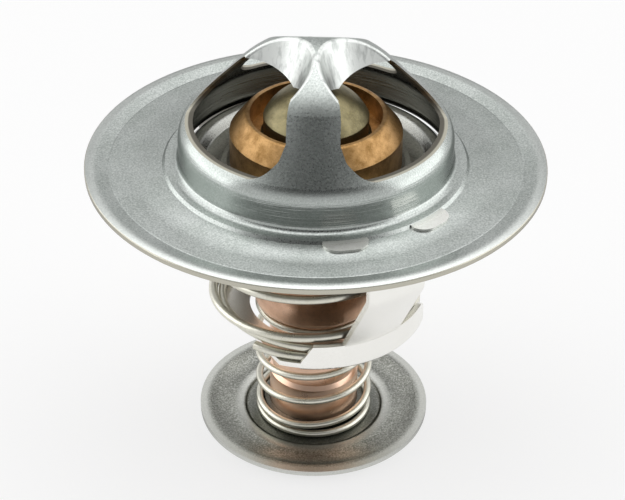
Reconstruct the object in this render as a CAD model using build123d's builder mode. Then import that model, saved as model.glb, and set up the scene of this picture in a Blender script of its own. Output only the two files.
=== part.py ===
from build123d import *
from math import cos, degrees, hypot, pi, radians, sin, sqrt, tan
import os

os.makedirs("parts", exist_ok=True)

# Heights stand on the underside of the bypass disc, at z = 0, and the axis is Z.

# Flange, ring and bridge, one stamping
rim_level = 46.55          # top of the raised flange rim
sheet = 0.85               # thickness of the stamping
flange_r = 33.5            # outside radius of the flange
rim_width = 1.8            # flat top of the rim
rim_slope = 1.6            # width of the slope inside the rim
rim_rise = 0.5             # rim above the annulus
ring_r = 19.95             # outside radius of the ring wall
land_width = 1.95          # coined land round the foot of the ring
land_rise = 0.4            # land above the annulus
foot_fillet = 1.1          # ring wall into the land
shoulder_height = 5.0      # ring wall's corner, before rounding, above the rim
shoulder_round = 4.0
flank_slope = 47.3         # degrees, the dome's straight flank
crown_height = 18.8        # top of the dome above the rim
bridge_turn = -1.7         # degrees, the front leg off the front

# Windows between the three legs, and the scoops pressed in beside the crown
leg_count = 3
window_sill = 6.2          # lower edge of the windows above the rim
leg_half = 3.7             # half width of a leg at mid height
leg_foot_half = 7.35       # half width of a leg at the sill
leg_knee_half = 4.6        # half width where the foot has narrowed
knee_share = 0.19          # heights from the sill to the crown, as shares of that rise
waist_share = 0.34         # from here up the leg keeps its width
leg_top_share = 0.52       # from here the leg narrows to the scoop's fold
fold_half = 3.5            # half width of a leg where it meets the fold
fold_share = 0.69
lip_share = 0.485          # lowest point of the lip, under the crown
arch_share = 0.64          # highest point of the lip, beside the leg
arch_half = 5.4            # half the distance between those highest points
window_start = 2.3         # the windows are cut from this radius outwards
scoop_reach_share = 0.50   # centre of a scoop from the axis, as a share of ring_r
scoop_lip_r = 3.7          # the scoop's wall from the axis, at its lip
scoop_draft = 18.0         # degrees
fold_round = 0.55          # outside of the fold between leg and scoop
window_corner = 1.6
window_knee = 1.2
window_arch = 1.2
edge_round = 0.15          # sheared edge of the flange

# Piston and its element
piston_r = 2.0
slide_fit = 0.05           # running clearance, radial
seat_gap = 0.03            # between pieces pressed or clamped together
guide_inset = 1.57         # olive brass guide inside the cup's radius
guide_height = 7.0         # foot of the guide's dome above the rim
guide_dome_extra = 0.9     # radius of its dome over its own
collar_wall = 3.32         # brass collar outside the cup's radius
collar_bore_extra = 0.4
collar_top = 7.25          # above the rim
collar_chamfer_height = 2.77
collar_chamfer_width = 2.2
collar_lip = 1.1           # thickness of the lip over the guide's flange
collar_lip_inset = 1.17    # bore of that lip inside the cup's radius
guide_flange = 1.5         # thickness of the guide's flange
cup_share = 0.46           # wide part of the copper cup, as a share of ring_r
cup_wall = 0.8
cup_mouth = 1.5            # mouth of the cup above the rim
shoulder_drop = 25.0       # cup's shoulder below the rim
cup_shoulder = 2.3         # narrow part of the cup inside the wide part's radius
cup_shoulder_round = 1.1
stem_wall = 0.85
neck_depth = 0.48          # waist rolled into the narrow part
neck_height = 8.9          # centre of the waist above the floor
neck_length = 2.6
cup_foot = 0.12            # cup's bottom above the floor
cup_floor = 1.6
plug_depth = 2.5           # guide's spigot inside the mouth of the cup
washer_sheet = 0.8         # washer between the guide and the rubber sleeve
sleeve_flange = 2.2
sleeve_gap = 1.25          # wax round the sleeve, in the narrow part
sleeve_length = 20.0
piston_tip = 5.0           # tapered end of the piston inside the sleeve
piston_tip_r = 1.1
piston_chamfer = 0.4
nose_flat = 0.35           # flat round the piston's bore
collar_top_round = 0.5
stem_edge_round = 0.08
sleeve_end = 1.6           # rubber below the piston

# Main valve
valve_sheet = 0.8
bead_inset = 1.35          # crest of the bead inside the bore
bead_half = 0.75           # half width of the bead
bead_top = 0.35            # its crest above the rim
hub_land = -0.6            # top of the disc round the collar, above the rim
hub_land_extra = 0.5       # that land outside the collar
spring_land = -0.9         # top of the disc over the spring, above the rim
land_step = 0.8            # width of the step between the two
crest_round = 1.0
crease_round = 0.4
skirt_overlap = 1.35       # skirt outside the bore
seat_clearance = 0.26      # skirt from the rounded seat
valve_lift = 8.0           # travel of the valve

# Main spring
wire_d = 1.35
wire_clearance = 0.05      # between a wire and what it bears on
bead_clearance = 0.10      # spring inside the bead
closed_pitch = 1.42
closed_turns = 1.8         # at the lower end
active_turns = 3.09
step_turn = 0.3            # last part of the first turn, climbing over the cut end
nest_start = 0.5           # from this turn the wire tucks in under the next turn
nest_turns = 0.7
spring_nest = 1.3
flat_turn = 0.75           # last part of a turn, level under what it bears on
coil_steps = 12            # places on the wire for each turn
spring_start = -34.0       # degrees from the front, the cut end below

# Lower frame
frame_sheet = 0.8
frame_turn = 31.0          # degrees from the front to the right
web_drop = 25.5            # top of its web below the rim
web_hole_gap = 0.73        # its hole outside the cup's radius
web_bar_share = 0.725      # half width of the web, as a share of its radius
wall_clearance = 0.12      # spring inside the curved walls
wall_height = 3.5          # curved walls above the web
wall_slant = 1.9           # clockwise ends are cut on the slant
wall_slant_height = 3.1
wall_round = 1.5           # their other ends are rounded
wall_back = 38.0           # degrees from the leg, clockwise from above
wall_front = 43.0
frame_leg_half = 4.6
leg_sweep = 20.0           # degrees each side that the legs are formed over
leg_clearance = 1.6        # legs outside the valve's skirt
leg_bend_drop = 11.0       # bend of the legs below the rim
frame_shoulder_drop = 5.5
tab_half = 3.2
tab_spread = 16.9          # degrees, each tab from the middle of the pair
tab_shift = -3.6           # degrees, the pair of tabs from the leg's middle
tab_reach = 2.4            # folded end of a tab on the flange
tab_sheet = 0.35           # its thickness, hammered flat
tab_round = 2.2
slot_clearance = 0.06
web_corner = 0.7           # bend between the web and the curved walls
bend_round = 1.5
shoulder_corner = 1.2
shoulder_margin = 1.5      # degrees, shoulders past the tabs

# Bypass spring and disc
bypass_wire_d = 1.1
bypass_spring_inset = 0.67 # middle of the wire inside the cup's radius
bypass_closed_pitch = 1.4
bypass_closed_turns = 1.33
bypass_active_turns = 3.85
bypass_start = -146.0
disc_r = 17.9
disc_sheet = 0.8
disc_rim_width = 1.65
disc_rim_height = 0.95     # rim above the floor of the disc
disc_step_gap = 2.0        # edge of the floor outside the spring
disc_step = 0.4
disc_ridge_width = 1.5
hub_height = 1.9
hub_wall = 0.8
clip_wire_d = 0.9
clip_gap = 40.0            # degrees
hub_flare = 1.6            # rounded mouth of the hub, over the snap ring
disc_dish = 0.3            # hollow of the disc between ridge and rim
bypass_lift = 5.0

# Levels and radii that follow
cup_r = cup_share * ring_r
stem_r = cup_r - cup_shoulder
neck_r = stem_r - neck_depth
guide_r = cup_r - guide_inset
guide_dome_r = guide_r + guide_dome_extra
collar_r = cup_r + collar_wall
collar_bore_r = cup_r + collar_bore_extra
collar_lip_bore_r = cup_r - collar_lip_inset
sleeve_r = neck_r - stem_wall - sleeve_gap
hub_land_r = collar_r + hub_land_extra
web_hole_r = cup_r + web_hole_gap
bypass_spring_r = cup_r - bypass_spring_inset
disc_step_r = bypass_spring_r + disc_step_gap
annulus_level = rim_level - rim_rise
land_level = annulus_level + land_rise
bore_r = ring_r - sheet
bead_r = bore_r - bead_inset
wire_r = wire_d / 2
main_spring_r = bead_r - bead_half - valve_sheet - bead_clearance - wire_r
hub_level = rim_level + hub_land
valve_land = rim_level + spring_land
valve_under = valve_land - valve_sheet
web_level = rim_level - web_drop
wall_inner_r = main_spring_r + wire_r + wall_clearance
wall_outer_r = wall_inner_r + frame_sheet
skirt_r = bore_r + skirt_overlap
land_edge_r = ring_r + land_width + land_rise + seat_gap
frame_leg_inner = skirt_r + leg_clearance
frame_leg_outer = frame_leg_inner + frame_sheet
front = -90.0              # the front of the object is -Y


def dome_radius(height):
    """Outside radius of the dome's straight flank at a height above the rim."""
    return ring_r - (height - shoulder_height) / tan(radians(flank_slope))


def bridge_height(share):
    """Height above the rim at a share of the rise from the sill to the crown."""
    return window_sill + share * (crown_height - window_sill)


def window_edge(height, half):
    """Distance of a leg's edge from the middle of the window beside it."""
    along = sqrt(dome_radius(height) ** 2 - half ** 2)
    half_share = radians(180 / leg_count)
    return along * sin(half_share) - half * cos(half_share)


def radial_plane(angle):
    """Upright plane through the axis, its X pointing out at an angle from +X."""
    return Plane.XZ.rotated((0, 0, angle))


def outward_plane(angle, distance):
    """Upright plane across the direction at an angle, facing out, its X level."""
    way = Vector(cos(radians(angle)), sin(radians(angle)), 0)
    level = Vector(-sin(radians(angle)), cos(radians(angle)), 0)
    return Plane(origin=way * distance, x_dir=level, z_dir=way)


# Dome, a straight flank that runs into a round crown, and the scoops in it
wall_join = rim_level + shoulder_height / 2
apex_height = shoulder_height + ring_r * tan(radians(flank_slope))
crown_round = (apex_height - crown_height) / (1 / cos(radians(flank_slope)) - 1)
dome_plane = radial_plane(front + bridge_turn)

with BuildSketch() as dome_outside:
    with BuildLine():
        Polyline(
            (0, rim_level - 2 * sheet),
            (ring_r, rim_level - 2 * sheet),
            (ring_r, rim_level + shoulder_height),
            (0, rim_level + apex_height),
        )
        mirror(about=Plane.YZ)
    make_face()
    fillet(dome_outside.vertices().group_by(Axis.Y)[-1], crown_round)
    fillet(dome_outside.vertices().group_by(Axis.Y)[1], shoulder_round)

with BuildSketch() as dome_inside:
    add(dome_outside.sketch)
    offset(amount=-sheet, mode=Mode.REPLACE)

lip_height = bridge_height(lip_share)
scoop_base = rim_level + lip_height - 1
scoop_depth = crown_height - lip_height + 2
scoop_taper = tan(radians(scoop_draft))
scoop_reach = scoop_reach_share * ring_r
scoop_low_r = scoop_reach - scoop_lip_r - scoop_taper
scoop_top_r = scoop_low_r + scoop_depth * scoop_taper
scoop_angles = [front + bridge_turn + (k + 0.5) * 360 / leg_count for k in range(leg_count)]


def scoop_miss(edge, angle):
    """How far an edge's middle is from the cone of the scoop at an angle."""
    spot = edge @ 0.5
    across = hypot(spot.X - scoop_reach * cos(radians(angle)), spot.Y - scoop_reach * sin(radians(angle)))
    return abs(across - scoop_low_r - (spot.Z - scoop_base) * scoop_taper)


def is_fold(edge):
    """True for an edge where a scoop's wall meets the outside of the dome."""
    on_scoop = min(scoop_miss(edge, angle) for angle in scoop_angles) < 0.01
    return on_scoop and edge.geom_type != GeomType.LINE and edge.center().Z > scoop_base + 0.5


def domed(section, widen):
    """Solid of revolution under a dome section, pressed in by the scoops."""
    with BuildPart() as body:
        with BuildSketch(dome_plane):
            add(section)
            with Locations((ring_r / 2, wall_join + crown_height / 2)):
                Rectangle(ring_r, crown_height, mode=Mode.INTERSECT)
        revolve(axis=Axis.Z)
        with Locations((0, 0, scoop_base)):
            with PolarLocations(scoop_reach, leg_count, start_angle=scoop_angles[0]):
                Cone(scoop_low_r + widen, scoop_top_r + widen, scoop_depth,
                     align=(Align.CENTER, Align.CENTER, Align.MIN), mode=Mode.SUBTRACT)
        if widen == 0:
            fillet(body.edges().filter_by(is_fold), fold_round)
    return body.part


# Flange and bridge, pressed and drawn from one sheet
sill_level = rim_level + window_sill
knee_height = bridge_height(knee_share)
waist_height = bridge_height(waist_share)
leg_top_height = bridge_height(leg_top_share)
fold_height = bridge_height(fold_share)
leg_angles = [front + frame_turn, front + frame_turn + 180]
tab_angles = [angle + tab_shift + side * tab_spread for angle in leg_angles for side in (-1, 1)]
tab_sweep = degrees(tab_half / frame_leg_outer)
slot_sweep = degrees((tab_half + slot_clearance) / frame_leg_outer)

with BuildPart() as bridge_flange:
    add(domed(dome_outside.sketch, 0))
    add(domed(dome_inside.sketch, sheet), mode=Mode.SUBTRACT)
    for angle in scoop_angles:
        with BuildSketch(outward_plane(angle, window_start)) as window:
            with BuildLine():
                Polyline(
                    (0, sill_level),
                    (window_edge(window_sill, leg_foot_half), sill_level),
                    (window_edge(knee_height, leg_knee_half), rim_level + knee_height),
                    (window_edge(waist_height, leg_half), rim_level + waist_height),
                    (window_edge(leg_top_height, leg_half), rim_level + leg_top_height),
                    (window_edge(fold_height, fold_half), rim_level + fold_height),
                    (arch_half, rim_level + bridge_height(arch_share)),
                    (0, rim_level + lip_height),
                )
                mirror(about=Plane.YZ)
            make_face()
            sill_corners = window.vertices().group_by(Axis.Y)[0].filter_by(lambda v: abs(v.X) > 1)
            fillet(sill_corners, window_corner)
            knees = window.vertices().filter_by(lambda v: abs(v.Y - rim_level - knee_height) < 0.01)
            fillet(knees, window_knee)
            arches = window.vertices().filter_by(lambda v: abs(abs(v.X) - arch_half) < 0.01)
            fillet(arches, window_arch)
        extrude(amount=ring_r, mode=Mode.SUBTRACT)
    with BuildSketch(dome_plane) as flange_section:
        with BuildLine():
            Polyline(
                (ring_r, wall_join),
                (ring_r, land_level),
                (ring_r + land_width, land_level),
                (ring_r + land_width + land_rise, annulus_level),
                (flange_r - rim_width - rim_slope, annulus_level),
                (flange_r - rim_width, rim_level),
                (flange_r, rim_level),
                (flange_r, rim_level - sheet),
                (flange_r - rim_width, rim_level - sheet),
                (flange_r - rim_width - rim_slope, annulus_level - sheet),
                (ring_r + land_width + land_rise, annulus_level - sheet),
                (ring_r + land_width, land_level - sheet),
                (bore_r, land_level - sheet),
                (bore_r, wall_join),
                close=True,
            )
        make_face()
        foot = flange_section.vertices().sort_by_distance((ring_r, land_level))[0]
        fillet(foot, foot_fillet)
        seat = flange_section.vertices().sort_by_distance((bore_r, land_level - sheet))[0]
        fillet(seat, foot_fillet + sheet)
        rim_edges = flange_section.vertices().group_by(Axis.X)[-1]
        fillet(rim_edges, edge_round)
    revolve(axis=Axis.Z)
    for angle in tab_angles:
        with BuildSketch(radial_plane(angle - slot_sweep)):
            with Locations(((frame_leg_inner + frame_leg_outer) / 2, annulus_level)):
                Rectangle(frame_sheet + 2 * slot_clearance, 4 * sheet)
        revolve(axis=Axis.Z, revolution_arc=2 * slot_sweep, mode=Mode.SUBTRACT)
bridge_flange.part.label = "bridge_flange"
export_step(bridge_flange.part, "parts/bridge_flange.step")

# Lower frame, folded from a stainless strip: a web, two curved walls, two legs and four tabs
wall_top = web_level + wall_height
web_under = web_level - frame_sheet
leg_root = web_level + wall_height / 2
leg_bend_level = rim_level - leg_bend_drop
frame_top = annulus_level - sheet - seat_gap
tab_low = annulus_level + seat_gap
tab_top = tab_low + tab_sheet
leg_run = frame_leg_inner - wall_inner_r
leg_rise = leg_bend_level - wall_top
bend_shift = frame_sheet * (hypot(leg_run, leg_rise) - leg_rise) / leg_run

with BuildPart() as frame_legs:
    for angle in leg_angles:
        with BuildSketch(radial_plane(angle - leg_sweep)) as leg_section:
            with BuildLine():
                Polyline(
                    (wall_inner_r, leg_root),
                    (wall_inner_r, wall_top),
                    (frame_leg_inner, leg_bend_level),
                    (frame_leg_inner, frame_top),
                    (frame_leg_outer, frame_top),
                    (frame_leg_outer, leg_bend_level - bend_shift),
                    (wall_outer_r, wall_top - bend_shift),
                    (wall_outer_r, leg_root),
                    close=True,
                )
            make_face()
            bends = leg_section.vertices().filter_by(lambda v: v.X < frame_leg_outer - frame_sheet / 2)
            fillet(bends.sort_by_distance((frame_leg_inner, leg_bend_level))[0], bend_round)
            bend = leg_section.vertices().sort_by_distance((frame_leg_outer, leg_bend_level - bend_shift))[0]
            fillet(bend, bend_round + frame_sheet)
        revolve(axis=Axis.Z, revolution_arc=2 * leg_sweep)
    with BuildSketch(Plane.XY.offset(web_under)):
        Rectangle(4 * frame_leg_outer, 2 * frame_leg_half, rotation=front + frame_turn)
    extrude(amount=rim_level, mode=Mode.INTERSECT)


def on_wall(angle):
    """Place on the top of a curved wall at an angle."""
    return (wall_inner_r * cos(radians(angle)), wall_inner_r * sin(radians(angle)), wall_top)


with BuildPart() as lower_frame:
    with BuildSketch(Plane.XY.offset(web_under)):
        Circle(wall_outer_r - web_corner)
        Circle(web_hole_r, mode=Mode.SUBTRACT)
        Rectangle(4 * wall_outer_r, 2 * web_bar_share * wall_outer_r, rotation=front + frame_turn,
                  mode=Mode.INTERSECT)
    extrude(amount=frame_sheet)
    for angle in leg_angles:
        with BuildSketch(radial_plane(angle - wall_back)) as wall_section:
            with BuildLine():
                Polyline(
                    (wall_inner_r - frame_sheet, web_under),
                    (wall_outer_r, web_under),
                    (wall_outer_r, wall_top),
                    (wall_inner_r, wall_top),
                    (wall_inner_r, web_level),
                    (wall_inner_r - frame_sheet, web_level),
                    close=True,
                )
            make_face()
            fillet(wall_section.vertices().sort_by_distance((wall_outer_r, web_under))[0], web_corner)
        revolve(axis=Axis.Z, revolution_arc=wall_back + wall_front)
    wall_ends = lower_frame.edges().group_by(Axis.Z)[-1].filter_by(GeomType.LINE)
    for angle in leg_angles:
        back_end = wall_ends.sort_by_distance(on_wall(angle - wall_back))[0]
        tops = lower_frame.faces().filter_by(Plane.XY).group_by(Axis.Z)[-1]
        chamfer(back_end, wall_slant, wall_slant_height, reference=tops.sort_by_distance(back_end.center())[0])
    for angle in leg_angles:
        front_ends = lower_frame.edges().group_by(Axis.Z)[-1].filter_by(GeomType.LINE)
        fillet(front_ends.sort_by_distance(on_wall(angle + wall_front))[0], wall_round)
    add(frame_legs.part)
    for angle in leg_angles:
        shoulder_sweep = tab_spread + tab_sweep + shoulder_margin
        with BuildSketch(radial_plane(angle + tab_shift - shoulder_sweep)):
            with Locations(((frame_leg_inner + frame_leg_outer) / 2, frame_top - frame_shoulder_drop / 2)):
                Rectangle(frame_sheet, frame_shoulder_drop)
        revolve(axis=Axis.Z, revolution_arc=2 * shoulder_sweep)
    shoulder_ends = lower_frame.edges().filter_by(Plane.XY).filter_by(GeomType.LINE).filter_by(
        lambda e: abs(e.center().Z - frame_top + frame_shoulder_drop) < 0.01 and abs(e.length - frame_sheet) < 0.01)
    fillet(shoulder_ends, shoulder_corner)
    for angle in tab_angles:
        with BuildSketch(radial_plane(angle - tab_sweep)):
            with Locations(((frame_leg_inner + frame_leg_outer) / 2, (frame_top + tab_top) / 2)):
                Rectangle(frame_sheet, tab_top - frame_top + 2 * seat_gap)
        revolve(axis=Axis.Z, revolution_arc=2 * tab_sweep)
        with BuildSketch(Plane.XY.rotated((0, 0, angle)).offset(tab_low)) as tongue:
            with Locations((frame_leg_inner + tab_reach / 2, 0)):
                Rectangle(tab_reach, 2 * tab_half)
            fillet(tongue.vertices().group_by(Axis.X)[-1], tab_round)
            Circle(land_edge_r, mode=Mode.SUBTRACT)
        extrude(amount=tab_sheet)
lower_frame.part.label = "lower_frame"
export_step(lower_frame.part, "parts/lower_frame.step")

# Piston, its top held between the walls of the three scoops
socket_rise = (scoop_reach - scoop_low_r - sheet - piston_r - seat_gap) / scoop_taper
piston_top = scoop_base + socket_rise + piston_chamfer
cup_mouth_level = rim_level + cup_mouth
plug_level = cup_mouth_level - plug_depth
washer_level = plug_level - washer_sheet
sleeve_top = washer_level
sleeve_bottom = sleeve_top - sleeve_length
piston_bottom = sleeve_bottom + sleeve_end

with BuildPart() as piston:
    with BuildSketch(Plane.XZ) as piston_section:
        with BuildLine():
            Polyline(
                (0, piston_bottom),
                (piston_tip_r, piston_bottom),
                (piston_r, piston_bottom + piston_tip),
                (piston_r, piston_top - piston_chamfer),
                (piston_r - piston_chamfer, piston_top),
                (0, piston_top),
                close=True,
            )
        make_face()
    revolve(axis=Axis.Z)
piston.part.label = "piston"
export_step(piston.part, "parts/piston.step")

# Guide, with its flange on the cup's mouth and a domed nose round the piston
guide_foot = cup_mouth_level + seat_gap
guide_dome_level = rim_level + guide_height
dome_centre = guide_dome_level - sqrt(guide_dome_r ** 2 - guide_r ** 2)
piston_bore_r = piston_r + slide_fit
nose_level = dome_centre + sqrt(guide_dome_r ** 2 - (piston_bore_r + nose_flat) ** 2)
cup_bore_r = cup_r - cup_wall

with BuildPart() as element_guide:
    with BuildSketch(Plane.XZ):
        with BuildLine():
            Polyline(
                (piston_bore_r + nose_flat, nose_level),
                (piston_bore_r, nose_level),
                (piston_bore_r, plug_level),
                (cup_bore_r - seat_gap, plug_level),
                (cup_bore_r - seat_gap, guide_foot),
                (cup_r, guide_foot),
                (cup_r, guide_foot + guide_flange),
                (guide_r, guide_foot + guide_flange),
                (guide_r, guide_dome_level),
            )
            RadiusArc((guide_r, guide_dome_level), (piston_bore_r + nose_flat, nose_level), -guide_dome_r)
        make_face()
    revolve(axis=Axis.Z)
element_guide.part.label = "element_guide"
export_step(element_guide.part, "parts/element_guide.step")

# Collar, turned from brass, carrying the valve disc and closed over the guide's flange
collar_foot = hub_level + seat_gap
lip_foot = guide_foot + guide_flange + seat_gap
collar_top_level = rim_level + collar_top

with BuildPart() as valve_collar:
    with BuildSketch(Plane.XZ) as collar_section:
        with BuildLine():
            Polyline(
                (cup_r + seat_gap, collar_foot),
                (collar_r, collar_foot),
                (collar_r, collar_top_level - collar_chamfer_height),
                (collar_r - collar_chamfer_width, collar_top_level),
                (collar_bore_r, collar_top_level),
                (collar_bore_r, lip_foot + collar_lip),
                (collar_lip_bore_r, lip_foot + collar_lip),
                (collar_lip_bore_r, lip_foot),
                (cup_r + seat_gap, lip_foot),
                close=True,
            )
        make_face()
        top_corner = collar_section.vertices().sort_by_distance(
            (collar_r - collar_chamfer_width, collar_top_level))[0]
        fillet(top_corner, collar_top_round)
    revolve(axis=Axis.Z)
valve_collar.part.label = "valve_collar"
export_step(valve_collar.part, "parts/valve_collar.step")

# Main valve disc, dished, with a raised bead and a skirt that closes on the rounded seat
seat_round = foot_fillet + sheet
seat_centre_r = bore_r + seat_round
seat_centre_level = land_level - sheet + seat_round
skirt_sum = seat_centre_r + seat_centre_level - sqrt(2) * (seat_round + seat_clearance)
bead_level = rim_level + bead_top
skirt_head_r = skirt_sum - bead_level
skirt_foot_level = skirt_sum - skirt_r
crest_r = bead_r - bead_half / 2
flank_r = bead_r - bead_half - valve_sheet
flank_run = crest_r - flank_r
flank_rise = bead_level - valve_land
flank_shift = valve_sheet * (hypot(flank_run, flank_rise) - flank_run) / flank_rise
skirt_shift = valve_sheet * (sqrt(2) - 1)
skirt_cut = valve_sheet / sqrt(2)

with BuildPart() as main_valve:
    with BuildSketch(Plane.XZ) as valve_section:
        with BuildLine():
            Polyline(
                (cup_r + seat_gap, hub_level),
                (hub_land_r, hub_level),
                (hub_land_r + land_step, valve_land),
                (flank_r, valve_land),
                (crest_r, bead_level),
                (skirt_head_r, bead_level),
                (skirt_r, skirt_foot_level),
                (skirt_r - skirt_cut, skirt_foot_level - skirt_cut),
                (skirt_head_r - skirt_shift, bead_level - valve_sheet),
                (crest_r + flank_shift, bead_level - valve_sheet),
                (flank_r + flank_shift, valve_under),
                (hub_land_r + land_step, valve_under),
                (hub_land_r, hub_level - valve_sheet),
                (cup_r + seat_gap, hub_level - valve_sheet),
                close=True,
            )
        make_face()
        for place in ((crest_r, bead_level), (skirt_head_r, bead_level)):
            fillet(valve_section.vertices().sort_by_distance(place)[0], crest_round)
        fillet(valve_section.vertices().sort_by_distance((flank_r, valve_land))[0], crease_round)
        fillet(valve_section.vertices().sort_by_distance((flank_r + flank_shift, valve_under))[0],
               crease_round + valve_sheet)
    revolve(axis=Axis.Z)
main_valve.part.label = "main_valve"
export_step(main_valve.part, "parts/main_valve.step")

# Copper cup, drawn, with a wide head, a narrow stem and a rolled waist
disc_floor = disc_sheet
shoulder_level = rim_level - shoulder_drop
cup_base = cup_foot
neck_level = disc_floor + neck_height
hub_bore_r = stem_r + slide_fit
clip_r = stem_r - clip_wire_d / 4
clip_reach = hub_flare + clip_wire_d / 2 + seat_gap
clip_level = hub_flare - sqrt(clip_reach ** 2 - (hub_bore_r + hub_flare - clip_r) ** 2)

with BuildPart() as wax_cup:
    with BuildSketch(Plane.XZ) as cup_section:
        with BuildLine():
            Polyline(
                (0, cup_base),
                (stem_r, cup_base),
                (stem_r, neck_level - neck_length / 2),
                (neck_r, neck_level - neck_length / 4),
                (neck_r, neck_level + neck_length / 4),
                (stem_r, neck_level + neck_length / 2),
                (stem_r, shoulder_level),
                (cup_r, shoulder_level),
                (cup_r, cup_mouth_level),
                (cup_bore_r, cup_mouth_level),
                (cup_bore_r, shoulder_level + cup_wall),
                (neck_r - stem_wall, shoulder_level + cup_wall),
                (neck_r - stem_wall, cup_base + cup_floor),
                (0, cup_base + cup_floor),
                close=True,
            )
        make_face()
        fillet(cup_section.vertices().sort_by_distance((cup_r, shoulder_level))[0], cup_shoulder_round)
        fillet(cup_section.vertices().sort_by_distance((stem_r, shoulder_level))[0], cup_wall / 2)
        fillet(cup_section.vertices().sort_by_distance((stem_r, cup_base))[0], stem_edge_round)
    revolve(axis=Axis.Z)
    with BuildSketch(Plane.XZ):
        with Locations((clip_r, clip_level)):
            Circle(clip_wire_d / 2 + seat_gap)
    revolve(axis=Axis.Z, mode=Mode.SUBTRACT)
wax_cup.part.label = "wax_cup"
export_step(wax_cup.part, "parts/wax_cup.step")

# Rubber sleeve, its flange clamped under the washer
with BuildPart() as rubber_sleeve:
    with BuildSketch(Plane.XZ):
        with BuildLine():
            Polyline(
                (0, sleeve_bottom),
                (sleeve_r, sleeve_bottom),
                (sleeve_r, sleeve_top - sleeve_flange),
                (cup_bore_r - seat_gap, sleeve_top - sleeve_flange),
                (cup_bore_r - seat_gap, sleeve_top - seat_gap),
                (piston_bore_r, sleeve_top - seat_gap),
                (piston_bore_r, piston_bottom + piston_tip),
                (piston_tip_r + slide_fit, piston_bottom - slide_fit),
                (0, piston_bottom - slide_fit),
                close=True,
            )
        make_face()
    revolve(axis=Axis.Z)
rubber_sleeve.part.label = "rubber_sleeve"
export_step(rubber_sleeve.part, "parts/rubber_sleeve.step")

# Washer that backs the rubber under the guide
with BuildPart() as seal_washer:
    with BuildSketch(Plane.XY.offset(washer_level)):
        Circle(cup_bore_r - seat_gap)
        Circle(piston_bore_r, mode=Mode.SUBTRACT)
    extrude(amount=washer_sheet - seat_gap)
seal_washer.part.label = "seal_washer"
export_step(seal_washer.part, "parts/seal_washer.step")

# Wax charge, filling the cup round the sleeve
with BuildPart() as wax_charge:
    with BuildSketch(Plane.XZ):
        with BuildLine():
            Polyline(
                (0, cup_base + cup_floor + seat_gap),
                (neck_r - stem_wall - seat_gap, cup_base + cup_floor + seat_gap),
                (neck_r - stem_wall - seat_gap, shoulder_level + cup_wall + seat_gap),
                (cup_bore_r - seat_gap, shoulder_level + cup_wall + seat_gap),
                (cup_bore_r - seat_gap, sleeve_top - sleeve_flange - seat_gap),
                (sleeve_r + seat_gap, sleeve_top - sleeve_flange - seat_gap),
                (sleeve_r + seat_gap, sleeve_bottom - seat_gap),
                (0, sleeve_bottom - seat_gap),
                close=True,
            )
        make_face()
    revolve(axis=Axis.Z)
wax_charge.part.label = "wax_charge"
export_step(wax_charge.part, "parts/wax_charge.step")


def coil_spots(mean_r, start, base, closed, pitch, active, top, nest=0):
    """Places along a spring's wire: closed turns that step over the cut end, open turns, the flat end."""
    total = closed + active + flat_turn
    steps = round(total * coil_steps)
    spots = []
    for turn in [total * step / steps for step in range(steps + 1)]:
        over = min(1, max(0, 1 + (turn - 1) / step_turn))
        tucked = min(1, max(0, (turn - nest_start) / nest_turns))
        climb = min(1, max(0, (turn - closed) / active))
        level = base + pitch * sin(pi * over / 2) ** 2 + climb * (top - base - pitch)
        reach = mean_r - nest * sin(pi * tucked) ** 2
        angle = radians(start + 360 * turn)
        spots.append((reach * cos(angle), reach * sin(angle), level))
    return spots


# Main spring, from the web up to the land of the valve disc
spring_base = web_level + wire_clearance + wire_r
spring_top = valve_under - wire_clearance - wire_r
spring_spots = coil_spots(
    main_spring_r, front + spring_start, spring_base,
    closed_turns, closed_pitch, active_turns, spring_top, spring_nest)

with BuildPart() as main_spring:
    with BuildLine():
        main_coil = Spline(*spring_spots)
    with BuildSketch(Plane(origin=main_coil @ 0, z_dir=main_coil % 0)):
        Circle(wire_r)
    sweep(path=main_coil)
main_spring.part.label = "main_spring"
export_step(main_spring.part, "parts/main_spring.step")

# Bypass spring, from the floor of the bypass disc up to the cup's shoulder
bypass_wire_r = bypass_wire_d / 2
bypass_base = disc_floor + wire_clearance + bypass_wire_r
bypass_top = shoulder_level - wire_clearance - bypass_wire_r

bypass_spots = coil_spots(
    bypass_spring_r, front + bypass_start, bypass_base,
    bypass_closed_turns, bypass_closed_pitch, bypass_active_turns, bypass_top)

with BuildPart() as bypass_spring:
    with BuildLine():
        bypass_coil = Spline(*bypass_spots)
    with BuildSketch(Plane(origin=bypass_coil @ 0, z_dir=bypass_coil % 0)):
        Circle(bypass_wire_r)
    sweep(path=bypass_coil)
bypass_spring.part.label = "bypass_spring"
export_step(bypass_spring.part, "parts/bypass_spring.step")

# Bypass disc, dished, with a burred hub that slides on the cup's stem
disc_rim_top = disc_floor + disc_rim_height
ridge_level = disc_floor + disc_step
rim_inner_r = disc_r - disc_rim_width
ridge_r = disc_step_r + disc_step + disc_ridge_width
dish_r = (ridge_r + rim_inner_r) / 2
dish_level = (ridge_level + disc_rim_top) / 2 - disc_dish

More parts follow.
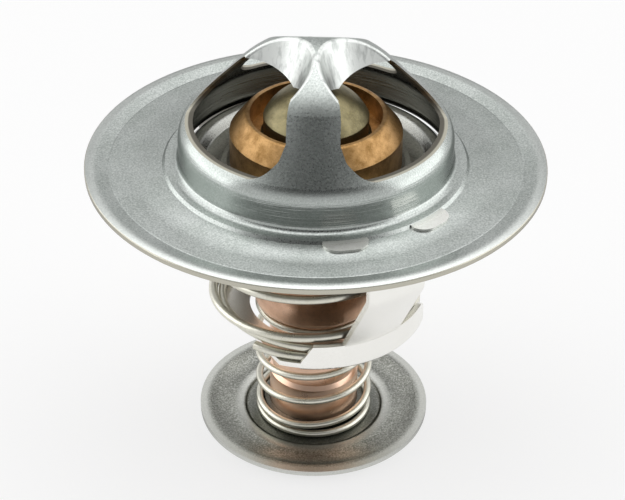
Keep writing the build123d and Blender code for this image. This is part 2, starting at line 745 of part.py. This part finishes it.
with BuildPart() as bypass_disc:
    with BuildSketch(Plane.XZ) as disc_section:
        with BuildLine():
            Polyline(
                (hub_bore_r, 0),
                (hub_bore_r, disc_floor + hub_height),
                (hub_bore_r + hub_wall, disc_floor + hub_height),
                (hub_bore_r + hub_wall, disc_floor),
                (disc_step_r, disc_floor),
                (disc_step_r + disc_step, ridge_level),
                (ridge_r, ridge_level),
            )
            ThreePointArc((ridge_r, ridge_level), (dish_r, dish_level), (rim_inner_r, disc_rim_top))
            Polyline(
                (rim_inner_r, disc_rim_top),
                (disc_r, disc_rim_top),
                (disc_r, disc_rim_top - disc_sheet),
                (rim_inner_r, disc_rim_top - disc_sheet),
            )
            ThreePointArc(
                (rim_inner_r, disc_rim_top - disc_sheet),
                (dish_r, dish_level - disc_sheet),
                (ridge_r, ridge_level - disc_sheet),
            )
            Polyline(
                (ridge_r, ridge_level - disc_sheet),
                (disc_step_r + disc_step, ridge_level - disc_sheet),
                (disc_step_r, 0),
                (hub_bore_r, 0),
            )
        make_face()
        fillet(disc_section.vertices().sort_by_distance((hub_bore_r, 0))[0], hub_flare)
        fillet(disc_section.vertices().sort_by_distance((hub_bore_r + hub_wall, disc_floor))[0], hub_flare - hub_wall)
        for place in ((disc_step_r, disc_floor), (disc_step_r + disc_step, ridge_level)):
            fillet(disc_section.vertices().sort_by_distance(place)[0], disc_step)
    revolve(axis=Axis.Z)
bypass_disc.part.label = "bypass_disc"
export_step(bypass_disc.part, "parts/bypass_disc.step")

# Snap ring that keeps the bypass disc on the stem
with BuildPart() as snap_ring:
    with BuildSketch(radial_plane(front + clip_gap / 2)):
        with Locations((clip_r, clip_level)):
            Circle(clip_wire_d / 2)
    revolve(axis=Axis.Z, revolution_arc=360 - clip_gap)
snap_ring.part.label = "snap_ring"
export_step(snap_ring.part, "parts/snap_ring.step")
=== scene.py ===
import math

import bpy
from mathutils import Euler, Matrix, Vector


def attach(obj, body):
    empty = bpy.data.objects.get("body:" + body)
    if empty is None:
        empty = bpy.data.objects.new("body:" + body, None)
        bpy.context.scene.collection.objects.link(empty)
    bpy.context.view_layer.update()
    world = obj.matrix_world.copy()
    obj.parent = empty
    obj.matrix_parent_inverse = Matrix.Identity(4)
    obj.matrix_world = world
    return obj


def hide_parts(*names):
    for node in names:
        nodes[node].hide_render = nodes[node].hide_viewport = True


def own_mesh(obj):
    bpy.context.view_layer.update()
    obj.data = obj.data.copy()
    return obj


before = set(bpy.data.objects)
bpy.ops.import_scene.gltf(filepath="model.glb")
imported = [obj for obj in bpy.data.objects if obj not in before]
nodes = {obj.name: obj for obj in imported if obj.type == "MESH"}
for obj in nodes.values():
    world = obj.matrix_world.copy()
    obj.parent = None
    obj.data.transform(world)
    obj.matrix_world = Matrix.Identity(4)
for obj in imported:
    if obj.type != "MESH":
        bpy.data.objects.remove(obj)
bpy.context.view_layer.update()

# Sizes that the materials follow, in millimetres. The rim's level and the cup's heights are above the
# floor, and other heights above the rim. A pair is where a change along a size starts and ends.
rim_level = 46.55
rim_width = 1.8
half_rim = rim_width / 2
flange_r = 33.5
flange_edge = 0.12
flange_dish = (21.0, 27.0)
ring_r = 19.95
shoulder_height = 5.0
flank_slope = math.radians(47.3)
tab_foot = 0.1

# Windows between the three legs, and the scoops, each a cone that stands beside the crown
window_low = 6.0
window_high = 14.0
window_angles = [math.radians(-31.7 + 120 * k) for k in range(3)]
window_directions = [(math.cos(a), math.sin(a), 0.0) for a in window_angles]
# How deep in the sheared edges their painted shade starts and is full
sheared_depth = (0.3, 0.42)
scoop_reach = ring_r / 2
scoop_wall = 3.7
scoop_r = scoop_reach - scoop_wall
scoop_lip = 12.3
scoop_taper = math.tan(math.radians(18.0))
scoop_margin = 0.45
lip_margin = 0.3

# Radii of the bypass disc: its recess with painted shade, its bend up and down with a painted highlight, its
# step, and its edge with a painted highlight
disc_recess = (9.4, 11.2)
disc_bend_in = (10.6, 11.3)
disc_bend_out = (11.3, 12.8)
disc_step = (9.2, 12.4)
disc_edge = (16.3, 17.2)

# Heights at which the copper cup's painted light, a paler tone lower down, starts and is full
cup_painted_light = (28.0, 20.0)

# Sizes of the patterns. The grain, flecks and tool lines of the real metals are under 0.1 mm, too fine
# to show at this distance, so they are drawn coarser, at 0.2 to 0.3 mm.
cloud_size = 5.0
sheet_grain = 0.25
sheet_ring = 0.3
fleck_size = 0.27
streak_size = 0.9
streak_draw = 0.12
turned_patch = 2.2
turned_grain = 0.22
turned_ring = 0.25
drawn_patch = 3.0
drawn_grain = 0.3
mottle_size = 1.5
ring_draw = 0.02


def linear(code):
    """Linear RGBA of an sRGB hex code."""
    parts = [int(code[i:i + 2], 16) / 255 for i in (0, 2, 4)]
    return [p / 12.92 if p <= 0.04045 else ((p + 0.055) / 1.055) ** 2.4 for p in parts] + [1.0]


def node(tree, kind, inputs=(), output=0, **settings):
    """Adds a shader node and returns one of its outputs. Its inputs come in order, or by name or number:
    a socket is linked, an sRGB code is set as its linear colour, and anything else is set as it is."""
    made = tree.nodes.new("ShaderNode" + kind)
    for name, value in settings.items():
        setattr(made, name, value)
    for name, value in inputs.items() if isinstance(inputs, dict) else enumerate(inputs):
        if isinstance(value, bpy.types.NodeSocket):
            tree.links.new(value, made.inputs[name])
        else:
            made.inputs[name].default_value = linear(value) if isinstance(value, str) else value
    return made.outputs[output]


def layered(tree, tint, *layers):
    """Tint with colours laid over it in turn, each as far as its own mask says."""
    for mask, colour in layers:
        tint = node(tree, "Mix", {0: mask, 6: tint, 7: colour}, 2, data_type="RGBA")
    return tint


def summed(tree, total, *parts):
    """A value with patterns added to it, each times its own amount."""
    for pattern, amount in parts:
        total = node(tree, "Math", (pattern, amount, total), operation="MULTIPLY_ADD")
    return total


def overlap(tree, *masks):
    """Where all of the masks hold."""
    shared = masks[0]
    for mask in masks[1:]:
        shared = node(tree, "Math", (shared, mask), operation="MULTIPLY")
    return shared


def millimetres(tree):
    """Object coordinates in millimetres, and the radius from the axis and the height there."""
    metres = node(tree, "TexCoord", output="Object")
    place = node(tree, "VectorMath", {0: metres, "Scale": 1000.0}, operation="SCALE")
    level = node(tree, "VectorMath", (place, (1.0, 1.0, 0.0)), operation="MULTIPLY")
    radius = node(tree, "VectorMath", (level,), "Value", operation="LENGTH")
    return place, radius, node(tree, "SeparateXYZ", (place,), "Z")


def facing(tree, direction):
    """How far the surface faces along a direction, in object space."""
    normal = node(tree, "TexCoord", output="Normal")
    return node(tree, "VectorMath", (normal, direction), "Value", operation="DOT_PRODUCT")


def rings(tree, place, radius, height, width):
    """Noise drawn out round the axis, as tool lines are, in rings of a width."""
    around = node(tree, "VectorMath", (place, (ring_draw, ring_draw, 0.0)), operation="MULTIPLY")
    across = node(tree, "CombineXYZ", (radius, height, 0.0))
    both = node(tree, "VectorMath", (around, across), operation="ADD")
    return node(tree, "TexNoise", {"Vector": both, "Scale": 1 / width, "Detail": 2.0, "Roughness": 0.55})


def seen_rays(tree):
    """True for the rays that show a background: the camera's, and reflected and passed on ones."""
    rays = node(tree, "LightPath").node.outputs
    bent = node(tree, "Math", (rays["Is Glossy Ray"], rays["Is Transmission Ray"]), operation="MAXIMUM")
    return node(tree, "Math", (rays["Is Camera Ray"], bent), operation="MAXIMUM")


def metal(name, shades, build, edge_tint="ffffff"):
    """Metal material; build returns its colour, its roughness and its relief in millimetres."""
    made = bpy.data.materials.new(name)
    made.use_nodes = True
    tree = made.node_tree
    shader = tree.nodes["Principled BSDF"]
    shader.inputs["Metallic"].default_value = 1.0
    shader.inputs["Specular Tint"].default_value = linear(edge_tint)
    tint, rough, relief = build(tree, shades)
    tree.links.new(tint, shader.inputs["Base Color"])
    tree.links.new(rough, shader.inputs["Roughness"])
    bump = node(tree, "Bump", {"Height": relief, "Distance": 0.001, "Strength": 1.0})
    tree.links.new(bump, shader.inputs["Normal"])
    return made


def sheet(tree, shades):
    """Pressed sheet: cloudy patches and a fine grain, and tool rings on the walls drawn upright."""
    place, radius, height = millimetres(tree)
    cloud = node(tree, "TexNoise", {"Vector": place, "Scale": 1 / cloud_size,
                                    "Detail": 4.0, "Roughness": 0.55})
    grain = node(tree, "TexNoise", {"Vector": place, "Scale": 1 / sheet_grain,
                                    "Detail": 3.0, "Roughness": 0.6})
    ring = rings(tree, place, radius, height, sheet_ring)
    level = node(tree, "Math", (facing(tree, (0, 0, 1)),), operation="ABSOLUTE")
    upright = node(tree, "Math", (1.0, level), operation="SUBTRACT")
    tint = layered(tree, shades["main"],
                   (node(tree, "MapRange", (cloud, 0.35, 0.65)), shades["cloud"]),
                   (node(tree, "MapRange", (grain, 0.5, 0.68, 0.0, 0.5)), shades["pale"]),
                   (node(tree, "MapRange", (grain, 0.5, 0.32, 0.0, 0.5)), shades["dark"]),
                   (node(tree, "MapRange", (upright, 0.1, 0.4, 0.0, 0.55)), shades["main"]))
    lines = overlap(tree, node(tree, "MapRange", (upright, 0.5, 0.95)),
                    node(tree, "MapRange", (ring, 0.3, 0.7)))
    rolled = node(tree, "MapRange", (upright, 0.1, 0.6, 1.0, 0.0))
    rough = summed(tree, 0.16, (rolled, 0.11), (grain, 0.12))
    return tint, rough, summed(tree, 0.0, (grain, 0.008), (lines, 0.03))


def window_edges(tree, place, radius, height):
    """The windows' sheared edges, side on to their direction, and how deep in the sheet they are."""
    edges = 0.0
    for direction in window_directions:
        turned_to = node(tree, "Math", (facing(tree, direction),), operation="ABSOLUTE")
        side_on = node(tree, "MapRange", (turned_to, 0.04, 0.08, 1.0, 0.0))
        along = node(tree, "VectorMath", (place, direction), "Value", operation="DOT_PRODUCT")
        sixty_degrees = node(tree, "Math", (radius, 0.5), operation="MULTIPLY")
        near = node(tree, "Math", (along, sixty_degrees), operation="GREATER_THAN")
        edges = node(tree, "Math", (edges, overlap(tree, side_on, near)), operation="MAXIMUM")
    above = node(tree, "Math", (height, rim_level + window_low), operation="GREATER_THAN")
    below = node(tree, "Math", (height, rim_level + window_high), operation="LESS_THAN")
    rise = node(tree, "Math", (height, rim_level + shoulder_height), operation="SUBTRACT")
    outside_r = summed(tree, ring_r, (rise, -1 / math.tan(flank_slope)))
    inwards = node(tree, "Math", (outside_r, radius), operation="SUBTRACT")
    depth = node(tree, "Math", (inwards, math.sin(flank_slope)), operation="MULTIPLY")
    return overlap(tree, edges, above, below), depth


def scoop_hollows(tree, place, height):
    """The hollow sides of the scoops."""
    rise = node(tree, "Math", (height, rim_level + scoop_lip), operation="SUBTRACT")
    reach = summed(tree, scoop_r + scoop_margin, (rise, scoop_taper))
    above = node(tree, "Math", (rise, -lip_margin), operation="GREATER_THAN")
    hollows = 0.0
    for direction in window_directions:
        centre = tuple(scoop_reach * part for part in direction)
        offset = node(tree, "VectorMath", (place, centre), operation="SUBTRACT")
        level = node(tree, "VectorMath", (offset, (1.0, 1.0, 0.0)), operation="MULTIPLY")
        across = node(tree, "VectorMath", (level,), "Value", operation="LENGTH")
        inside = node(tree, "Math", (across, reach), operation="LESS_THAN")
        hollows = node(tree, "Math", (hollows, overlap(tree, inside, above)), operation="MAXIMUM")
    return hollows


def pressed_bridge(tree, shades):
    """Sheet with a painted highlight in streaks on the scoops, pale sheared edges with painted shade deeper
    in, painted shade on its inner side, and a round rim with a painted highlight.
    """
    tint, rough, relief = sheet(tree, shades)
    place, radius, height = millimetres(tree)
    edges, depth = window_edges(tree, place, radius, height)
    hollows = scoop_hollows(tree, place, height)
    # Painted highlight on the scoops' hollow sides, broken up by darker streaks
    drawn_down = node(tree, "VectorMath", (place, (1.0, 1.0, streak_draw)), operation="MULTIPLY")
    streak = node(tree, "TexNoise", {"Vector": drawn_down, "Scale": 1 / streak_size, "Detail": 3.0,
                                     "Roughness": 0.55})
    scoop_highlight = layered(tree, shades["scoop_highlight"],
                        (node(tree, "MapRange", (streak, 0.5, 0.72, 0.0, 0.55)), shades["dark"]))
    # Sheared edges pale, with painted shade deeper into the sheet
    sheared_and_shaded = layered(tree, shades["cut"],
                      (node(tree, "MapRange", (depth, *sheared_depth)), shades["painted_shade"]))
    # Painted shade on the sides that face the axis, but not on the scoops
    inner = node(tree, "MapRange", (facing(tree, place), -2.0, -6.0, 0.0, 0.8))
    not_hollow = node(tree, "Math", (1.0, hollows), operation="SUBTRACT")
    # Painted highlight on the rim's band
    rim_highlight = node(tree, "MapRange", (radius, flange_r - rim_width, flange_r - half_rim, 0.0, 0.45))
    outermost = node(tree, "Math", (radius, flange_r - flange_edge), operation="GREATER_THAN")
    tint = layered(tree, tint,
                   (node(tree, "Math", (hollows, 0.9), operation="MULTIPLY"), scoop_highlight),
                   (overlap(tree, inner, not_hollow), shades["painted_shade"]),
                   (edges, sheared_and_shaded),
                   (rim_highlight, shades["pale"]),
                   (outermost, shades["cut"]))
    off_middle = node(tree, "Math", (radius, flange_r - half_rim), operation="SUBTRACT")
    squared = node(tree, "Math", (off_middle, off_middle), operation="MULTIPLY")
    crown = node(tree, "MapRange", (squared, 0.0, half_rim ** 2, 1.0, 0.0))
    dish = node(tree, "MapRange", (radius, *flange_dish, 1.0, 0.0), interpolation_type="SMOOTHSTEP")
    bead = node(tree, "MapRange", (radius, flange_r - 2 * rim_width, flange_r, 1.0, 0.0))
    rough = summed(tree, rough, (edges, 0.3), (hollows, 0.16))
    return tint, rough, summed(tree, relief, (crown, 0.16), (dish, 0.6), (bead, 0.4))


def pressed_disc(tree, shades):
    """Flecked sheet, pressed down round the spring, with painted shade in the recess and a painted highlight
    where it bends and at its edge.
    """
    tint, rough, relief = sheet(tree, shades)
    place, radius = millimetres(tree)[:2]
    fleck = node(tree, "TexNoise", {"Vector": place, "Scale": 1 / fleck_size,
                                    "Detail": 3.0, "Roughness": 0.7})
    smooth = {"interpolation_type": "SMOOTHSTEP"}
    # Painted highlight bands where the disc bends and at its edge
    bend = overlap(tree, node(tree, "MapRange", (radius, *disc_bend_in), **smooth),
                   node(tree, "MapRange", (radius, *disc_bend_out, 0.6, 0.0), **smooth))
    edge = node(tree, "MapRange", (radius, *disc_edge, 0.0, 0.6), **smooth)
    # Flecks, then painted shade in the recess round the spring, then the painted highlights
    tint = layered(tree, tint,
                   (node(tree, "MapRange", (fleck, 0.48, 0.68, 0.0, 0.6)), shades["dark"]),
                   (node(tree, "MapRange", (radius, *disc_recess, 0.6, 0.0), **smooth), shades["dark"]),
                   (node(tree, "Math", (bend, edge), operation="MAXIMUM"), shades["pale"]))
    step = node(tree, "MapRange", (radius, *disc_step), **smooth)
    return tint, rough, summed(tree, relief, (step, 0.5))


def bright_strip(tree, shades):
    """Bright strip, with painted shade on its inner side and on the sides of the tabs pressed over the
    flange, and the tabs a darker grey.
    """
    tint, rough, relief = sheet(tree, shades)
    place, radius, height = millimetres(tree)
    level = node(tree, "VectorMath", (place, (1.0, 1.0, 0.0)), operation="MULTIPLY")
    # Painted shade on the sides that face the axis
    inner = node(tree, "MapRange", (facing(tree, level), -1.0, -6.0, 0.0, 0.8))
    tabs = node(tree, "MapRange", (height, rim_level - tab_foot, rim_level + tab_foot))
    # Painted shade on the faces of the tabs that don't face up
    side = node(tree, "MapRange", (facing(tree, (0, 0, 1)), 0.2, 0.6, 0.8, 0.0))
    above = node(tree, "Math", (height, rim_level - tab_foot), operation="GREATER_THAN")
    tint = layered(tree, tint, (inner, shades["strip_shade"]), (tabs, shades["tab"]),
                   (overlap(tree, side, above), shades["strip_shade"]))
    return tint, rough, relief


def turned(tree, shades):
    """Turned metal: tool rings, with worn and darkened patches."""
    place, radius, height = millimetres(tree)
    patch = node(tree, "TexNoise", {"Vector": place, "Scale": 1 / turned_patch,
                                    "Detail": 5.0, "Roughness": 0.65})
    grain = node(tree, "TexNoise", {"Vector": place, "Scale": 1 / turned_grain,
                                    "Detail": 4.0, "Roughness": 0.7})
    ring = rings(tree, place, radius, height, turned_ring)
    tint = layered(tree, shades["main"],
                   (node(tree, "MapRange", (patch, 0.42, 0.68)), shades["patch"]),
                   (node(tree, "MapRange", (grain, 0.5, 0.8, 0.0, 0.6)), shades["grain"]))
    return tint, summed(tree, 0.3, (patch, 0.25)), summed(tree, 0.0, (grain, 0.012), (ring, 0.01))


def drawn(tree, shades):
    """Drawn wire or cup: smooth, with a slight grain."""
    place = millimetres(tree)[0]
    patch = node(tree, "TexNoise", {"Vector": place, "Scale": 1 / drawn_patch,
                                    "Detail": 4.0, "Roughness": 0.6})
    grain = node(tree, "TexNoise", {"Vector": place, "Scale": 1 / drawn_grain,
                                    "Detail": 3.0, "Roughness": 0.6})
    tint = layered(tree, shades["main"],
                   (node(tree, "MapRange", (patch, 0.38, 0.68)), shades["patch"]),
                   (node(tree, "MapRange", (grain, 0.5, 0.8, 0.0, 0.5)), shades["grain"]))
    return tint, summed(tree, 0.2, (patch, 0.2)), summed(tree, 0.0, (grain, 0.006))


def drawn_cup(tree, shades):
    """Drawn copper, painted paler towards the bottom as painted light."""
    tint, rough, relief = drawn(tree, shades)
    height = millimetres(tree)[2]
    paler = node(tree, "MapRange", (height, *cup_painted_light, 0.0, 0.75))
    return layered(tree, tint, (paler, shades["paler"])), rough, relief


def plain(name, code, rough):
    """Non-metal material with a slight mottle."""
    made = bpy.data.materials.new(name)
    made.use_nodes = True
    tree = made.node_tree
    shader = tree.nodes["Principled BSDF"]
    mottle = node(tree, "TexNoise", {"Vector": millimetres(tree)[0], "Scale": 1 / mottle_size, "Detail": 3.0,
                                     "Roughness": 0.55})
    tint = layered(tree, code, (node(tree, "Math", (mottle, 0.3), operation="MULTIPLY"), "000000"))
    tree.links.new(tint, shader.inputs["Base Color"])
    shader.inputs["Roughness"].default_value = rough
    return made


# Zinc-plated steel, pressed: a soft grey sheen with a fine sparkle, a painted highlight in streaks on the
# scoops and on the rim, painted shade on the inner side and deep in the sheared edges, and greyer towards a
# grazing view
pressed_steel = metal("zinc_plated_pressed_steel",
                      {"main": "b3b9b5", "cloud": "c0c5c2", "pale": "e4e7e4", "dark": "7e8381",
                       "cut": "bcb9ac", "painted_shade": "6f6c64", "scoop_highlight": "e6e9e6"},
                      pressed_bridge, "c8c8c8")

# Bare steel sheet, pressed: a plain warm grey that blurs what it mirrors
valve_steel = metal("pressed_steel_sheet",
                    {"main": "a9aaa5", "cloud": "b8b9b3", "pale": "d2d3ce", "dark": "7e7f7a"}, sheet)

# Steel sheet etched in flecks: grey and grainy, with painted highlight bands, and painted shade in the
# recess round the spring
disc_steel = metal("speckled_steel_sheet",
                   {"main": "93948e", "cloud": "a3a49d", "pale": "e9eae5", "dark": "565752"},
                   pressed_disc, "c8c8c8")

# Stainless strip, rolled bright and folded: nearly white where it mirrors the room, with painted shade
# inside and on the tabs' sides, and its tabs a darker grey
bright_steel = metal("stainless_strip",
                     {"main": "f4f3ee", "cloud": "f9f8f4", "pale": "fbfaf7", "dark": "e6e4dd",
                      "strip_shade": "57554f", "tab": "b9beba"}, bright_strip)

# Stainless pin, ground: a smooth grey with sharp highlights
pin_steel = metal("ground_stainless_pin", {"main": "b9b8b4", "patch": "cfcecb", "grain": "8d8c88"}, drawn)

# Spring wire, phosphated and drawn: a pale warm grey with a soft highlight along each turn
wire_steel = metal("phosphated_spring_wire", {"main": "d4d2c4", "patch": "e0ded3", "grain": "b2af9e"}, drawn)

# Brass, turned: golden, with tool rings and brown handling marks
collar_brass = metal("turned_brass", {"main": "bb9564", "patch": "8c6a3d", "grain": "5d4426"}, turned)

# Brass, turned and dulled with age: olive, with a few brighter worn specks
guide_brass = metal("dulled_brass", {"main": "8a8264", "patch": "68624a", "grain": "ad9f6e"}, turned)

# Copper, deep drawn: pink and smooth, brown where it has tarnished, and painted paler lower down as painted
# light
cup_copper = metal("drawn_copper",
                   {"main": "d9b095", "patch": "b1886d", "grain": "7a5a48", "paler": "f6d3ba"}, drawn_cup)

# Rubber, wax and plastic inside the element, moulded or poured: matt, with no highlight to speak of
black_rubber = plain("moulded_rubber", "181818", 0.6)
wax_fill = plain("copper_filled_wax", "a8875a", 0.7)
washer_plastic = plain("moulded_washer", "cfcfc8", 0.5)

finishes = {
    "bridge_flange": pressed_steel,
    "lower_frame": bright_steel,
    "piston": pin_steel,
    "main_spring": wire_steel,
    "main_valve": valve_steel,
    "valve_collar": collar_brass,
    "element_guide": guide_brass,
    "seal_washer": washer_plastic,
    "rubber_sleeve": black_rubber,
    "wax_charge": wax_fill,
    "wax_cup": cup_copper,
    "bypass_spring": wire_steel,
    "bypass_disc": disc_steel,
    "snap_ring": wire_steel,
}
for name, finish in finishes.items():
    for slot in nodes[name].material_slots:
        slot.material = finish


def closing_spring(name, body):
    """Stands for a spring's solid with a copy of it, attached to a body."""
    solid = nodes[name]
    coil = bpy.data.objects.new(name + "_coil", solid.data.copy())
    bpy.context.collection.objects.link(coil)
    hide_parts(name)
    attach(coil, body)
    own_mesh(coil)


# Springs: the main one stands on the lower frame, the bypass one hangs from the cup's shoulder
closing_spring("main_spring", "frame")
closing_spring("bypass_spring", "valve")

# Floor of pale paper, seen nearly white, with the object's shadow on it
bpy.ops.mesh.primitive_plane_add(size=3.0, location=(0, 0, 0))
floor = bpy.context.object
floor.name = "floor"
paper = bpy.data.materials.new("pale_paper")
paper.use_nodes = True
tree = paper.node_tree
shader = tree.nodes["Principled BSDF"]
shader.inputs["Base Color"].default_value = linear("f6f6f6")
shader.inputs["Roughness"].default_value = 0.9
white = node(tree, "Emission", ("ffffff", 1.0))
shade = node(tree, "Math", (seen_rays(tree), 0.7), operation="MULTIPLY")
paper_mix = node(tree, "MixShader", (shade, shader.outputs[0], white))
tree.links.new(paper_mix, tree.nodes["Material Output"].inputs["Surface"])
floor.data.materials.append(paper)

# World: white behind the object but for a grey band part way up, and dimmer in front, most of all high up
world = bpy.data.worlds.new("studio")
bpy.context.scene.world = world
world.use_nodes = True
tree = world.node_tree
sky = tree.nodes["Background"]
incoming = node(tree, "SeparateXYZ", (node(tree, "NewGeometry", output="Incoming"),)).node.outputs
upward = node(tree, "Math", (incoming["Z"], -1.0), operation="MULTIPLY")
front = node(tree, "MapRange", (incoming["Y"], 0.25, 0.52))
behind = node(tree, "Math", (1.0, front), operation="SUBTRACT")
high = node(tree, "MapRange", (upward, 0.3, 0.66, 0.25, 0.98))
not_dimmed = node(tree, "Math", (1.0, overlap(tree, front, high)), operation="SUBTRACT")
band = overlap(tree, node(tree, "MapRange", (upward, 0.2, 0.42)),
               node(tree, "MapRange", (upward, 0.53, 0.59, 1.0, 0.0)), behind)
not_banded = node(tree, "MapRange", (band, 0.0, 1.0, 1.0, 0.45))
as_light = node(tree, "MapRange", (seen_rays(tree), 0.0, 1.0, 0.75, 1.0))
sky.inputs["Color"].default_value = linear("ffffff")
tree.links.new(overlap(tree, not_dimmed, not_banded, as_light), sky.inputs["Strength"])


def softbox(name, place, width, height, power):
    """Rectangular area lamp aimed at the middle of the object."""
    bpy.ops.object.light_add(type="AREA", location=place)
    lamp = bpy.context.object
    lamp.name = name
    lamp.data.shape = "RECTANGLE"
    lamp.data.size = width
    lamp.data.size_y = height
    lamp.data.energy = power
    lamp.rotation_euler = (middle - Vector(place)).to_track_quat("-Z", "Y").to_euler()


middle = Vector((0.0, 0.0, 0.035))
softbox("softbox_left", (-0.60, 0.08, 0.26), 0.70, 0.60, 1.6)
softbox("softbox_right", (0.60, 0.04, 0.26), 0.70, 0.60, 1.5)
softbox("softbox_top", (0.0, 0.14, 0.62), 0.80, 0.60, 1.3)

# Camera, from the photograph's perspective: focal length, distance, height and roll
focal_pixels = 1827.5
picture_width = 625
distance = 0.2746
elevation = math.radians(34.2)
roll = math.radians(0.53)
aim = Vector((-0.00037, 0.0, 0.03007))
camera_data = bpy.data.cameras.new("camera")
camera = bpy.data.objects.new("camera", camera_data)
bpy.context.collection.objects.link(camera)
camera_data.sensor_width = 36.0
camera_data.lens = camera_data.sensor_width * focal_pixels / picture_width
camera_data.clip_start = 0.01
turn = Euler((math.pi / 2 - elevation, 0, 0)).to_matrix() @ Matrix.Rotation(roll, 3, "Z")
camera.rotation_euler = turn.to_euler()
camera.location = aim + distance * Vector((0, -math.cos(elevation), math.sin(elevation)))
bpy.context.scene.camera = camera
bpy.context.scene.view_settings.view_transform = "Standard"
